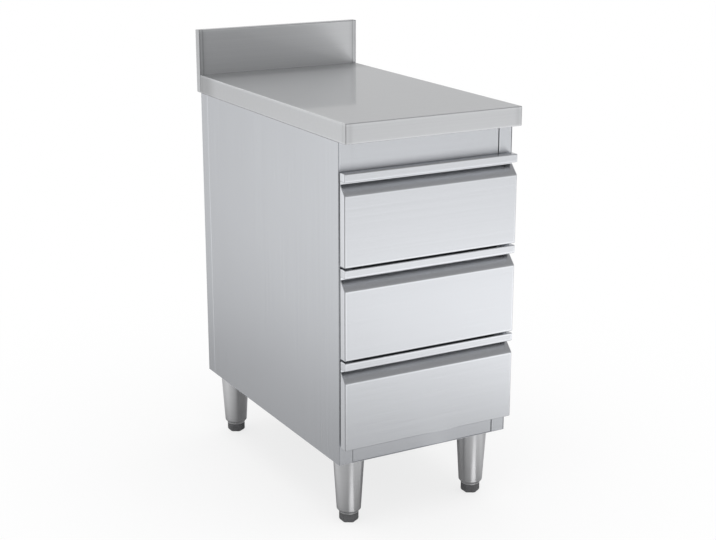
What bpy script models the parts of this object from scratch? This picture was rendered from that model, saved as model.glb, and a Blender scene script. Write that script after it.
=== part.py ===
"""Free-standing stainless steel drawer cabinet with an upstand, three drawers and levelling feet.

Metres, +Z up. X runs left to right as seen from the front, the drawers face -Y,
and the origin lies on the floor under the middle of the worktop.
"""

import math

import bmesh
import bpy

# Worktop and upstand
WORKTOP_WIDTH = 0.400
WORKTOP_DEPTH = 0.700
WORKTOP_HEIGHT = 0.850
WORKTOP_SHEET = 0.0015
APRON_HEIGHT = 0.040
APRON_RETURN = 0.020
UPSTAND_HEIGHT = 0.100
UPSTAND_DEPTH = 0.018

# Body shell, set in from the sides and back of the worktop
BODY_SIDE_INSET = 0.001
BODY_REAR_INSET = 0.018
BODY_SHEET = 0.0010
LEG_SPACE = 0.150

# Posts and rails
POST_WIDTH = 0.030
POST_SHEET = 0.0015
FRONT_POST_DEPTH = 0.030
REAR_POST_DEPTH = 0.036
RAIL_SHEET = 0.0012
FRONT_RAIL_DEPTH = 0.030
REAR_RAIL_DEPTH = 0.015
REAR_RAIL_HEIGHT = 0.040
TOP_RAIL_SHOWN = 0.058
BOTTOM_RAIL_SHOWN = 0.039
RAIL_HIDDEN = 0.008

# Drawer fronts: a hollow folded panel whose top is bent into a grip channel and a lip with closed ends
DRAWER_COUNT = 3
DRAWER_GAP = 0.0042
FRONT_SETBACK = 0.008
FRONT_CLEARANCE = 0.004
FRONT_SIDE_INSET = 0.002
FRONT_DEPTH = 0.019
FRONT_SHEET = 0.0010
LIP_HEIGHT = 0.017
LIP_RETURN = 0.006
GRIP_OPENING = 0.0255
GRIP_UPRIGHT = 0.006

# Drawer trays
TRAY_SHEET = 0.0010
TRAY_FLOOR_CLEARANCE = 0.010
TRAY_RIM_CLEARANCE = 0.037
TRAY_REAR_CLEARANCE = 0.020

# Telescopic runners
RUNNER_HEIGHT = 0.045
RUNNER_DEPTH = 0.013
RUNNER_SHEET = 0.0012
RUNNER_RAISE = 0.0115
RUNNER_FRONT_CLEARANCE = 0.006
RUNNER_REAR_CLEARANCE = 0.002
RUNNER_STEP = 0.012

# Legs and levelling feet
LEG_SIDE_INSET = 0.049
LEG_FRONT_INSET = 0.050
LEG_REAR_INSET = 0.040
LEG_TOP_RADIUS = 0.0325
LEG_END_RADIUS = 0.0253
LEG_WALL = 0.0020
LEG_CAP_THICKNESS = 0.003
LEG_SHOULDER = 0.0048
LEG_NECK_HEIGHT = 0.003
LEG_INSERT_HEIGHT = 0.022
LEG_PLATE_SIZE = 0.070
LEG_PLATE_THICKNESS = 0.003
SPIGOT_RADIUS = 0.008
FOOT_HEIGHT = 0.020
FOOT_RADIUS = 0.0209
FOOT_CHAMFER = 0.003
STEM_RADIUS = 0.010
STEM_LENGTH = 0.050

# Clearances and facets
FIT_GAP = 0.0003
RUNNER_PLAY = 0.0005
ROUND_SIDES = 24
SHOULDER_STEPS = 4
SMOOTH_ANGLE = math.radians(32)

# Finishes: colour, metallic, roughness
FINISHES = {
    "worktop_steel": ((0.62, 0.63, 0.64), 1.0, 0.28),
    "body_steel": ((0.66, 0.67, 0.69), 1.0, 0.34),
    "front_steel": ((0.70, 0.71, 0.73), 1.0, 0.32),
    "leg_steel": ((0.58, 0.58, 0.58), 1.0, 0.25),
    "runner_zinc": ((0.55, 0.56, 0.58), 1.0, 0.38),
    "core_board": ((0.42, 0.33, 0.22), 0.0, 0.80),
    "foot_plastic": ((0.06, 0.06, 0.065), 0.0, 0.55),
}

# Places that several pieces share
SIDES = (("left", -1), ("right", 1))
HALF_WIDTH = WORKTOP_WIDTH / 2
FRONT_EDGE = -WORKTOP_DEPTH / 2
REAR_EDGE = WORKTOP_DEPTH / 2
UPSTAND_FRONT = REAR_EDGE - UPSTAND_DEPTH
APRON_BOTTOM = WORKTOP_HEIGHT - APRON_HEIGHT

BODY_HALF = HALF_WIDTH - BODY_SIDE_INSET
BODY_FRONT = FRONT_EDGE + FRONT_SETBACK + FRONT_DEPTH + FRONT_CLEARANCE
BODY_REAR = REAR_EDGE - BODY_REAR_INSET
BODY_TOP = APRON_BOTTOM - FIT_GAP
BASE_TOP = LEG_SPACE + BODY_SHEET + FIT_GAP
POST_OUTER = BODY_HALF - BODY_SHEET - FIT_GAP
POST_INNER = POST_OUTER - POST_WIDTH
REAR_POST_FRONT = BODY_REAR - REAR_POST_DEPTH
RAIL_HALF = POST_INNER - FIT_GAP
REAR_RAIL_BACK = BODY_REAR - BODY_SHEET - FIT_GAP
REAR_RAIL_FRONT = REAR_RAIL_BACK - REAR_RAIL_DEPTH

FRONTS_TOP = APRON_BOTTOM - TOP_RAIL_SHOWN
FRONTS_BOTTOM = LEG_SPACE + BOTTOM_RAIL_SHOWN
DRAWER_PITCH = (FRONTS_TOP - FRONTS_BOTTOM + DRAWER_GAP) / DRAWER_COUNT
FRONT_HEIGHT = DRAWER_PITCH - DRAWER_GAP
FRONT_PLANE = FRONT_EDGE + FRONT_SETBACK
FRONT_HALF = HALF_WIDTH - FRONT_SIDE_INSET
FRONT_INSIDE = FRONT_DEPTH - FRONT_SHEET
LIP_BOTTOM = FRONT_HEIGHT - LIP_HEIGHT
FACE_TOP = LIP_BOTTOM - GRIP_OPENING

RUNNER_SEAT = POST_INNER - FIT_GAP
RUNNER_FRONT = BODY_FRONT + RUNNER_FRONT_CLEARANCE
RUNNER_REAR = REAR_RAIL_FRONT - RUNNER_REAR_CLEARANCE
TRAY_HALF = RUNNER_SEAT - RUNNER_DEPTH - FIT_GAP
TRAY_BOTTOM = RAIL_HIDDEN + TRAY_FLOOR_CLEARANCE
TRAY_RIM = FRONT_HEIGHT - RAIL_HIDDEN - TRAY_RIM_CLEARANCE


def clear_scene():
    """Remove every object that the open file holds."""
    for item in list(bpy.data.objects):
        bpy.data.objects.remove(item, do_unlink=True)


def make_material(name, finish):
    """Plain Principled material in one of the cabinet's finishes."""
    colour, metallic, roughness = FINISHES[finish]
    material = bpy.data.materials.new(name + "_" + finish)
    material.use_nodes = True
    shader = material.node_tree.nodes["Principled BSDF"]
    shader.inputs["Base Color"].default_value = (*colour, 1.0)
    shader.inputs["Metallic"].default_value = metallic
    shader.inputs["Roughness"].default_value = roughness
    return material


def loft(rings, closed=False):
    """Mesh through a row of equal rings of points, capped at both ends or closed on itself."""
    shape = bmesh.new()
    rows = [[shape.verts.new(point) for point in ring] for ring in rings]
    pairs = list(zip(rows, rows[1:]))
    if closed:
        pairs.append((rows[-1], rows[0]))
    else:
        shape.faces.new(rows[0])
        shape.faces.new(rows[-1])
    for near, far in pairs:
        for here in range(len(near)):
            after = (here + 1) % len(near)
            shape.faces.new((near[here], near[after], far[after], far[here]))
    bmesh.ops.recalc_face_normals(shape, faces=shape.faces)
    mesh = bpy.data.meshes.new("mesh")
    shape.to_mesh(mesh)
    shape.free()
    return mesh


def smooth_round(mesh):
    """Shade a turned mesh smooth and keep its edges crisp."""
    mesh.shade_smooth()
    mesh.set_sharp_from_angle(angle=SMOOTH_ANGLE)
    return mesh


def rectangle(x_low, x_high, y_low, y_high, z):
    """Level rectangular ring."""
    return [(x_low, y_low, z), (x_high, y_low, z), (x_high, y_high, z), (x_low, y_high, z)]


def block(x_low, x_high, y_low, y_high, z_low, z_high):
    """Flat sheet or board with square edges."""
    return loft([rectangle(x_low, x_high, y_low, y_high, z) for z in (z_low, z_high)])


def along_x(outline, x_low, x_high):
    """Profile of (y, z) points drawn out from side to side."""
    return loft([[(x, y, z) for y, z in outline] for x in (x_low, x_high)])


def along_y(outline, y_low, y_high):
    """Profile of (x, z) points drawn out from front to back."""
    return loft([[(x, y, z) for x, z in outline] for y in (y_low, y_high)])


def channel(web, edge, low, high, sheet):
    """Outline of a folded C: an upright web at one side, flanges that reach to the edge."""
    inner = web + math.copysign(sheet, edge - web)
    return [
        (web, low),
        (web, high),
        (edge, high),
        (edge, high - sheet),
        (inner, high - sheet),
        (inner, low + sheet),
        (edge, low + sheet),
        (edge, low),
    ]


def ring_angles():
    """Angles of the points on every round ring."""
    return [2 * math.pi * step / ROUND_SIDES for step in range(ROUND_SIDES)]


def circle(radius, z):
    """Level round ring."""
    return [(radius * math.cos(turn), radius * math.sin(turn), z) for turn in ring_angles()]


def hexagon(corner_radius, z):
    """Level hexagonal ring with flats to both sides and as many points as a round one."""
    ring = []
    for turn in ring_angles():
        from_flat = (turn + math.pi / 6) % (math.pi / 3) - math.pi / 6
        radius = corner_radius * math.cos(math.pi / 6) / math.cos(from_flat)
        ring.append((radius * math.cos(turn), radius * math.sin(turn), z))
    return ring


def square(half, z):
    """Level square ring with as many points as a round one."""
    ring = []
    for turn in ring_angles():
        radius = half / max(abs(math.cos(turn)), abs(math.sin(turn)))
        ring.append((radius * math.cos(turn), radius * math.sin(turn), z))
    return ring


def tube(x_low, x_high, y_low, y_high, z_low, z_high, wall):
    """Upright square tube, open at both ends."""
    outer = (x_low, x_high, y_low, y_high)
    inner = (x_low + wall, x_high - wall, y_low + wall, y_high - wall)
    rings = [
        rectangle(*outer, z_low),
        rectangle(*outer, z_high),
        rectangle(*inner, z_high),
        rectangle(*inner, z_low),
    ]
    return loft(rings, closed=True)


def add_piece(name, mesh, finish, place=(0, 0, 0), parent=None):
    """Named sub-part with its own material, placed in its parent's space."""
    mesh.name = name
    piece = bpy.data.objects.new(name, mesh)
    bpy.context.scene.collection.objects.link(piece)
    mesh.materials.append(make_material(name, finish))
    piece.location = place
    piece.parent = parent
    return piece


def add_axis(name, place):
    """Empty that carries the pieces of one moving group."""
    empty = bpy.data.objects.new(name, None)
    bpy.context.scene.collection.objects.link(empty)
    empty.location = place
    return empty


def build_worktop():
    """Folded lid with aprons and returns, filled with a board."""
    rear = UPSTAND_FRONT - FIT_GAP
    sheet = WORKTOP_SHEET
    outer = (-HALF_WIDTH, HALF_WIDTH, FRONT_EDGE, rear)
    inner = (-HALF_WIDTH + sheet, HALF_WIDTH - sheet, FRONT_EDGE + sheet, rear - sheet)
    mouth = (
        -HALF_WIDTH + APRON_RETURN,
        HALF_WIDTH - APRON_RETURN,
        FRONT_EDGE + APRON_RETURN,
        rear - APRON_RETURN,
    )
    lid = loft([
        rectangle(*outer, WORKTOP_HEIGHT),
        rectangle(*outer, APRON_BOTTOM),
        rectangle(*mouth, APRON_BOTTOM),
        rectangle(*mouth, APRON_BOTTOM + sheet),
        rectangle(*inner, APRON_BOTTOM + sheet),
        rectangle(*inner, WORKTOP_HEIGHT - sheet),
    ])
    add_piece("worktop", lid, "worktop_steel")
    core = block(
        inner[0] + FIT_GAP,
        inner[1] - FIT_GAP,
        inner[2] + FIT_GAP,
        inner[3] - FIT_GAP,
        APRON_BOTTOM + sheet + FIT_GAP,
        WORKTOP_HEIGHT - sheet - FIT_GAP,
    )
    add_piece("worktop_core", core, "core_board")


def build_upstand():
    """Folded strip behind the worktop, open below and closed by two end caps."""
    top = WORKTOP_HEIGHT + UPSTAND_HEIGHT
    sheet = WORKTOP_SHEET
    outline = [
        (UPSTAND_FRONT, APRON_BOTTOM),
        (UPSTAND_FRONT, top),
        (REAR_EDGE, top),
        (REAR_EDGE, APRON_BOTTOM),
        (REAR_EDGE - sheet, APRON_BOTTOM),
        (REAR_EDGE - sheet, top - sheet),
        (UPSTAND_FRONT + sheet, top - sheet),
        (UPSTAND_FRONT + sheet, APRON_BOTTOM),
    ]
    reach = HALF_WIDTH - sheet - FIT_GAP
    add_piece("rear_upstand", along_x(outline, -reach, reach), "worktop_steel")
    for side, sign in SIDES:
        near, far = sorted((sign * (HALF_WIDTH - sheet), sign * HALF_WIDTH))
        cap = block(near, far, UPSTAND_FRONT, REAR_EDGE, APRON_BOTTOM, top)
        add_piece("upstand_end_" + side, cap, "worktop_steel")


def build_shell():
    """Base sheet, side sheets and back sheet."""
    base = block(-BODY_HALF, BODY_HALF, BODY_FRONT, BODY_REAR, LEG_SPACE, LEG_SPACE + BODY_SHEET)
    add_piece("base_panel", base, "body_steel")
    back = block(-RAIL_HALF, RAIL_HALF, BODY_REAR - BODY_SHEET, BODY_REAR, BASE_TOP, BODY_TOP)
    add_piece("back_panel", back, "body_steel")
    for side, sign in SIDES:
        near, far = sorted((sign * (BODY_HALF - BODY_SHEET), sign * BODY_HALF))
        panel = block(near, far, BODY_FRONT, REAR_POST_FRONT - FIT_GAP, BASE_TOP, BODY_TOP)
        add_piece("side_panel_" + side, panel, "body_steel")


def build_posts():
    """Square uprights: the front pair inside the side sheets, the rear pair flush with them."""
    for side, sign in SIDES:
        near, far = sorted((sign * POST_INNER, sign * POST_OUTER))
        front_back = BODY_FRONT + FRONT_POST_DEPTH
        front = tube(near, far, BODY_FRONT, front_back, BASE_TOP, BODY_TOP, POST_SHEET)
        add_piece("front_post_" + side, front, "body_steel")
        near, far = sorted((sign * POST_INNER, sign * BODY_HALF))
        rear = tube(near, far, REAR_POST_FRONT, BODY_REAR, BASE_TOP, BODY_TOP, POST_SHEET)
        add_piece("rear_post_" + side, rear, "body_steel")


def build_rails():
    """Folded cross rails between the posts, two at the front and two at the back."""
    front_edge = BODY_FRONT + FRONT_RAIL_DEPTH
    rails = (
        ("top_front_rail", BODY_FRONT, front_edge, FRONTS_TOP - RAIL_HIDDEN, BODY_TOP),
        ("bottom_front_rail", BODY_FRONT, front_edge, BASE_TOP, FRONTS_BOTTOM + RAIL_HIDDEN),
        ("top_rear_rail", REAR_RAIL_BACK, REAR_RAIL_FRONT, BODY_TOP - REAR_RAIL_HEIGHT, BODY_TOP),
        ("bottom_rear_rail", REAR_RAIL_BACK, REAR_RAIL_FRONT, BASE_TOP, BASE_TOP + REAR_RAIL_HEIGHT),
    )
    for name, web, edge, low, high in rails:
        outline = channel(web, edge, low, high, RAIL_SHEET)
        add_piece(name, along_x(outline, -RAIL_HALF, RAIL_HALF), "body_steel")


def front_outline():
    """Outline of a drawer front in (depth, height), with its bevel, grip channel and lip."""
    return [
        (0, 0),
        (0, FACE_TOP),
        (FRONT_INSIDE, LIP_BOTTOM - GRIP_UPRIGHT),
        (FRONT_INSIDE, LIP_BOTTOM),
        (0, LIP_BOTTOM),
        (0, FRONT_HEIGHT),
        (FRONT_DEPTH, FRONT_HEIGHT),
        (FRONT_DEPTH, 0),
    ]


def lip_hollow():
    """Outline of the space behind the lip, which fingers reach from below."""
    roof = FRONT_HEIGHT - FRONT_SHEET
    return [
        (FRONT_SHEET, roof),
        (FRONT_SHEET, LIP_BOTTOM + FRONT_SHEET),
        (LIP_RETURN, LIP_BOTTOM + FRONT_SHEET),
        (LIP_RETURN, LIP_BOTTOM - GRIP_UPRIGHT / 2),
        (FRONT_INSIDE, LIP_BOTTOM - GRIP_UPRIGHT / 2),
        (FRONT_INSIDE, roof),
    ]


def face_hollow_top(depth):
    """Height of the hollow under the bevelled sheet at a given depth behind the face."""
    slope = (GRIP_OPENING - GRIP_UPRIGHT) / FRONT_INSIDE
    return FACE_TOP + slope * depth - FRONT_SHEET * math.hypot(1, slope)


def face_hollow():
    """Outline of the space behind the face and the bevel, open at the back."""
    past_back = 2 * FRONT_DEPTH
    return [
        (FRONT_SHEET, FRONT_SHEET),
        (FRONT_SHEET, face_hollow_top(FRONT_SHEET)),
        (past_back, face_hollow_top(past_back)),
        (past_back, FRONT_SHEET),
    ]


def cut_hollow(front, name, outline, drawer):
    """Take a hollow out of a drawer front, between its end sheets."""
    reach = FRONT_HALF - FRONT_SHEET
    cutter = add_piece(name, along_x(outline, -reach, reach), "front_steel", parent=drawer)
    cutter.hide_render = True
    cutter.display_type = "WIRE"
    cut = front.modifiers.new(name, "BOOLEAN")
    cut.operation = "DIFFERENCE"
    cut.object = cutter


def build_drawer_front(number, drawer):
    """Folded front, hollow and open at the back, with the sheet that closes it."""
    front = add_piece(
        "drawer_front_" + number,
        along_x(front_outline(), -FRONT_HALF, FRONT_HALF),
        "front_steel",
        parent=drawer,
    )
    cut_hollow(front, "face_hollow_" + number, face_hollow(), drawer)
    cut_hollow(front, "lip_hollow_" + number, lip_hollow(), drawer)
    reach = FRONT_HALF - FRONT_SHEET - FIT_GAP
    backing = block(
        -reach,
        reach,
        FRONT_INSIDE,
        FRONT_DEPTH,
        FRONT_SHEET + FIT_GAP,
        face_hollow_top(FRONT_INSIDE) - FIT_GAP,
    )
    add_piece("drawer_backing_" + number, backing, "body_steel", parent=drawer)


def build_drawer_tray(number, drawer):
    """Open folded box behind the front."""
    front = FRONT_DEPTH + FIT_GAP
    rear = REAR_RAIL_FRONT - TRAY_REAR_CLEARANCE - FRONT_PLANE
    outer = (-TRAY_HALF, TRAY_HALF, front, rear)
    inner = (
        -TRAY_HALF + TRAY_SHEET,
        TRAY_HALF - TRAY_SHEET,
        front + TRAY_SHEET,
        rear - TRAY_SHEET,
    )
    tray = loft([
        rectangle(*outer, TRAY_BOTTOM),
        rectangle(*outer, TRAY_RIM),
        rectangle(*inner, TRAY_RIM),
        rectangle(*inner, TRAY_BOTTOM + TRAY_SHEET),
    ])
    add_piece("drawer_tray_" + number, tray, "body_steel", parent=drawer)


def runner_outline(sign, web, edge, half_height):
    """Runner member as a folded C, its depths counted from the post towards the drawer."""
    return channel(
        sign * (RUNNER_SEAT - web),
        sign * (RUNNER_SEAT - edge),
        -half_height,
        half_height,
        RUNNER_SHEET,
    )


def build_runners(number, bottom, drawer):
    """Three nested runner members on each side of one drawer."""
    outer_half = RUNNER_HEIGHT / 2
    centre = TRAY_BOTTOM + RUNNER_RAISE + outer_half
    nest = RUNNER_SHEET + RUNNER_PLAY
    flange_end = RUNNER_DEPTH - nest
    length = RUNNER_REAR - RUNNER_FRONT
    slide = add_axis("runner_slide_" + number, (0, RUNNER_FRONT, bottom + centre))
    in_drawer = (0, RUNNER_FRONT - FRONT_PLANE, centre)
    for side, sign in SIDES:
        tag = number + "_" + side
        fixed = runner_outline(sign, 0, flange_end, outer_half)
        add_piece(
            "cabinet_runner_" + tag,
            along_y(fixed, 0, length),
            "runner_zinc",
            place=(0, RUNNER_FRONT, bottom + centre),
        )
        middle = runner_outline(sign, nest, flange_end, outer_half - nest)
        add_piece(
            "middle_runner_" + tag, along_y(middle, 0, length - RUNNER_STEP), "runner_zinc", parent=slide
        )
        moving = runner_outline(sign, RUNNER_DEPTH, 2 * nest, outer_half - 2 * nest)
        add_piece(
            "drawer_runner_" + tag,
            along_y(moving, 0, length - 2 * RUNNER_STEP),
            "runner_zinc",
            place=in_drawer,
            parent=drawer,
        )


def build_drawers():
    """Equal drawers, numbered from the top down."""
    for index in range(DRAWER_COUNT):
        number = str(index + 1)
        bottom = FRONTS_TOP - FRONT_HEIGHT - index * DRAWER_PITCH
        drawer = add_axis("drawer_" + number, (0, FRONT_PLANE, bottom))
        build_drawer_front(number, drawer)
        build_drawer_tray(number, drawer)
        build_runners(number, bottom, drawer)


def leg_rings(plate_bottom):
    """Rings of a hollow tapered leg, from its spigot down and up again inside."""
    top = plate_bottom - FIT_GAP
    neck_bottom = FOOT_HEIGHT + FIT_GAP
    neck_radius = LEG_END_RADIUS - LEG_SHOULDER
    taper_end = neck_bottom + LEG_NECK_HEIGHT + LEG_SHOULDER
    insert_top = neck_bottom + LEG_INSERT_HEIGHT
    bore = STEM_RADIUS + FIT_GAP
    taper = (LEG_TOP_RADIUS - LEG_END_RADIUS) / (top - taper_end)
    floor_radius = LEG_END_RADIUS + taper * (insert_top - taper_end) - LEG_WALL
    ceiling = top - LEG_CAP_THICKNESS
    ceiling_radius = LEG_TOP_RADIUS - taper * LEG_CAP_THICKNESS - LEG_WALL
    rings = [
        circle(SPIGOT_RADIUS, top + LEG_PLATE_THICKNESS),
        circle(SPIGOT_RADIUS, top),
        circle(LEG_TOP_RADIUS, top),
    ]
    for step in range(SHOULDER_STEPS + 1):
        turn = math.pi / 2 * step / SHOULDER_STEPS
        radius = neck_radius + LEG_SHOULDER * math.cos(turn)
        rings.append(circle(radius, taper_end - LEG_SHOULDER * math.sin(turn)))
    rings += [
        circle(neck_radius, neck_bottom),
        circle(bore, neck_bottom),
        circle(bore, insert_top),
        circle(floor_radius, insert_top),
        circle(ceiling_radius, ceiling),
    ]
    return rings


def foot_rings():
    """Rings of a screw-in foot: chamfered hexagon below, round stem above."""
    return [
        hexagon(FOOT_RADIUS - FOOT_CHAMFER, 0),
        hexagon(FOOT_RADIUS, FOOT_CHAMFER),
        hexagon(FOOT_RADIUS, FOOT_HEIGHT),
        circle(STEM_RADIUS, FOOT_HEIGHT),
        circle(STEM_RADIUS, FOOT_HEIGHT + STEM_LENGTH),
    ]


def build_legs():
    """Four legs on plates under the base, each with a foot that screws into it."""
    plate_top = LEG_SPACE - FIT_GAP
    plate_bottom = plate_top - LEG_PLATE_THICKNESS
    hole = SPIGOT_RADIUS + FIT_GAP
    rows = (
        ("front", BODY_FRONT + LEG_FRONT_INSET),
        ("rear", BODY_REAR - LEG_REAR_INSET),
    )
    for row, y in rows:
        for side, sign in SIDES:
            tag = row + "_" + side
            place = (sign * (BODY_HALF - LEG_SIDE_INSET), y, 0)
            plate_rings = [
                square(LEG_PLATE_SIZE / 2, plate_bottom),
                square(LEG_PLATE_SIZE / 2, plate_top),
                circle(hole, plate_top),
                circle(hole, plate_bottom),
            ]
            add_piece("leg_plate_" + tag, loft(plate_rings, closed=True), "body_steel", place)
            leg = smooth_round(loft(leg_rings(plate_bottom)))
            add_piece("leg_" + tag, leg, "leg_steel", place)
            foot = smooth_round(loft(foot_rings()))
            add_piece("foot_" + tag, foot, "foot_plastic", place)


clear_scene()
build_worktop()
build_upstand()
build_shell()
build_posts()
build_rails()
build_drawers()
build_legs()
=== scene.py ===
import math
from functools import partial

import bmesh
import bpy
from mathutils import Matrix, Vector


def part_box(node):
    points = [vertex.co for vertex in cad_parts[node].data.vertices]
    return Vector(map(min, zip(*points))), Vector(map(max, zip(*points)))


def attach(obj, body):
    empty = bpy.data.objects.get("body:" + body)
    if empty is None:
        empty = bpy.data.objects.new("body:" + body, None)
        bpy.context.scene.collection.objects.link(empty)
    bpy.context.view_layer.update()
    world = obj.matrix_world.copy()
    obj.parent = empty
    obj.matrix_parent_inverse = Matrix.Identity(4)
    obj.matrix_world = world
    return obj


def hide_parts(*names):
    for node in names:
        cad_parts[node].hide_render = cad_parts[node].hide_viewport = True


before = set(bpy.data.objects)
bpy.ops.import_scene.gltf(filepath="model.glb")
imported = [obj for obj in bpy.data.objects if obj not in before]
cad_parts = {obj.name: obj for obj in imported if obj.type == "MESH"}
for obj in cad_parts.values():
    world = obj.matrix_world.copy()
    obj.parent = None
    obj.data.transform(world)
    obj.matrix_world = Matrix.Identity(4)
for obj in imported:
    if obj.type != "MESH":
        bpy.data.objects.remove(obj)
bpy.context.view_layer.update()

collection = bpy.context.scene.collection


# Base panel: the floor of the body, one flat stainless sheet that the four posts stand on.
# It is laser cut and brushed from front to back, and its sharp edges are broken with a file.
BODY_COLOUR = (0.635, 0.65, 0.68)
BODY_ROUGHNESS = 0.26
BROKEN_EDGE = 0.0003
CREASE = math.radians(40)
HAIRLINES_PER_METRE = 850.0
STREAKS_PER_METRE = 120.0
# Scale of the grain along each axis: its lines run along the small one.
ALONG_X = (0.004, 1.0, 1.0)
ALONG_Y = (1.0, 0.004, 1.0)
ALONG_Z = (1.0, 1.0, 0.004)
ROUND = (0.004, 0.004, 1.0)
# The lines are tilted a little, so that no flat face looks straight along them.
GRAIN_TILT = (0.01, 0.02, 0.015)


def add_node(tree, kind, *sources, output=0, **named):
    """Output of a new node. Sources come in order or by capital name, settings by small-letter name."""
    node = tree.nodes.new(kind if "Node" in kind else "ShaderNode" + kind)
    settings = [name for name in named if name.islower()]
    for name in settings:
        setattr(node, name, named[name])
    filled = list(zip(node.inputs, sources))
    filled += [(node.inputs[name.replace("_", " ")], named[name]) for name in named if name not in settings]
    for socket, source in filled:
        if isinstance(source, bpy.types.NodeSocket):
            tree.links.new(source, socket)
        elif source is not None:
            socket.default_value = source
    return node.outputs[output]


def noise_layer(tree, label, scale, detail):
    """Noise on Object coordinates with its own scale along each axis."""
    place = add_node(tree, "TexCoord", output="Object")
    stretched = add_node(tree, "Mapping", place, Scale=scale)
    return add_node(tree, "TexNoise", stretched, Scale=1.0, Detail=detail, label=label, output="Fac")


def mesh_layer(tree, name):
    """Value that the mesh carries from point to point, 0 where it carries none."""
    return add_node(tree, "Attribute", attribute_name=name, output="Fac")


def weighted(tree, level, *layers):
    """Level with each layer added at its weight; a layer says where it changes nothing."""
    total = level - sum(weight * rest for _, weight, rest in layers)
    for layer, weight, _ in layers:
        total = add_node(tree, "Math", layer, weight, total, operation="MULTIPLY_ADD")
    return total


def tinted(tree, colour, strength):
    """Colour made lighter and darker by a strength around 1."""
    return add_node(tree, "VectorMath", colour, Scale=strength, operation="SCALE")


def raised(tree, height, distance, strength, under=None):
    """Bump of a height layer over the surface or over another bump."""
    return add_node(tree, "Bump", strength, distance, Height=height, Normal=under)


def across_grain(tree, grain):
    """Direction on the surface across the grain, in which the brushing spreads reflections."""
    normal = add_node(tree, "NewGeometry", output="Normal")
    lines = list(GRAIN_TILT)
    if grain == ROUND:
        lines[2] = 1.0
        lines = add_node(tree, "VectorMath", lines, normal, operation="CROSS_PRODUCT")
    else:
        lines[grain.index(min(grain))] = 1.0
    return add_node(tree, "VectorMath", normal, lines, operation="CROSS_PRODUCT")


def new_finish(name, metallic):
    """New material with its node tree and its shader's inputs."""
    material = bpy.data.materials.new(name)
    material.use_nodes = True
    inputs = material.node_tree.nodes["Principled BSDF"].inputs
    inputs["Metallic"].default_value = metallic
    return material, material.node_tree, inputs


def brushed_steel(name, colour, grain, roughness, spread=0.85):
    """Satin stainless steel: hairlines along one axis, faint clouds, brighter bends, dull welds, and painted
    shade where the weld layer carries it.
    """
    material, tree, inputs = new_finish(name, 1.0)
    inputs["Anisotropic"].default_value = spread
    tree.links.new(across_grain(tree, grain), inputs["Tangent"])
    hairlines = noise_layer(tree, "hairlines", [HAIRLINES_PER_METRE * step for step in grain], 4.0)
    streaks = noise_layer(tree, "streaks", [STREAKS_PER_METRE * step for step in grain], 2.0)
    clouds = noise_layer(tree, "clouds", (6.0, 6.0, 6.0), 3.0)
    waves = noise_layer(tree, "sheet waves", (3.0, 3.0, 3.0), 0.0)
    bend = mesh_layer(tree, "bend")
    # The weld layer darkens and dulls: at real welds, and as painted shade in the drawer fronts' lip hollows
    # and corner bends.
    weld_and_shade = mesh_layer(tree, "weld_and_shade")
    strength = weighted(
        tree, 1.0, (hairlines, 0.10, 0.5), (streaks, 0.05, 0.5), (clouds, 0.04, 0.5),
        (bend, 0.06, 0.0), (weld_and_shade, -0.12, 0.0),
    )
    gloss = weighted(
        tree, roughness, (hairlines, 0.05, 0.5), (clouds, 0.03, 0.5),
        (bend, -0.06, 0.0), (weld_and_shade, 0.10, 0.0),
    )
    sheet_waves = raised(tree, waves, 0.0015, 1.0)
    tree.links.new(tinted(tree, colour, strength), inputs["Base Color"])
    tree.links.new(gloss, inputs["Roughness"])
    tree.links.new(raised(tree, hairlines, 0.00003, 0.4, sheet_waves), inputs["Normal"])
    return material


def applied(piece):
    """New mesh of an object as its modifiers leave it."""
    return bpy.data.meshes.new_from_object(piece.evaluated_get(bpy.context.evaluated_depsgraph_get()))


def levelled(raw):
    """Copy of a mesh, smooth over its bends and crisp along its cut edges, flat over its larger faces."""
    raw.shade_smooth()
    raw.set_sharp_from_angle(angle=CREASE)
    holder = bpy.data.objects.new("holder", raw)
    collection.objects.link(holder)
    level = holder.modifiers.new("level", "WEIGHTED_NORMAL")
    level.keep_sharp = True
    mesh = applied(holder)
    bpy.data.objects.remove(holder)
    bpy.data.meshes.remove(raw)
    return mesh


def finished(shape):
    """Levelled mesh of a shape, with its faces turned outwards."""
    bmesh.ops.recalc_face_normals(shape, faces=shape.faces)
    raw = bpy.data.meshes.new("raw")
    shape.to_mesh(raw)
    shape.free()
    return levelled(raw)


def flat_sheet(low, high):
    """Cut sheet between two corners, with its edges broken."""
    shape = bmesh.new()
    bmesh.ops.create_cube(shape, size=1.0)
    for point in shape.verts:
        for axis in range(3):
            point.co[axis] = low[axis] if point.co[axis] < 0 else high[axis]
    bmesh.ops.bevel(
        shape, geom=shape.edges[:], offset=BROKEN_EDGE, segments=2, profile=0.5, affect="EDGES"
    )
    return finished(shape)


def stand_in(name, mesh, material, slot, body, *nodes):
    """Show a finished mesh in place of its CAD nodes, on the body that they move with."""
    mesh.name = name
    mesh.materials.clear()
    mesh.materials.append(material)
    piece = bpy.data.objects.new(name, mesh)
    collection.objects.link(piece)
    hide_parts(*nodes)
    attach(piece, body)


steel_along = brushed_steel("body steel, brushed front to back", BODY_COLOUR, ALONG_Y, BODY_ROUGHNESS)
base_low, base_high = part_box("base_panel")
base_high.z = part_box("bottom_front_rail")[0].z
stand_in("base_sheet", flat_sheet(base_low, base_high), steel_along, "body_steel", "cabinet", "base_panel")


# Posts: four square uprights of 1.5 mm stainless tube that carry the panels, rails and runners.
# Sawn square from lengths with a small outside radius; the front ones are brushed across together
# with the rails once these are welded in, the rear ones along their length.
POST_SHEET = 0.0015
POST_RADIUS = 0.0008
ARC_STEPS = 4
RUB_FADE = 0.003


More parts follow.
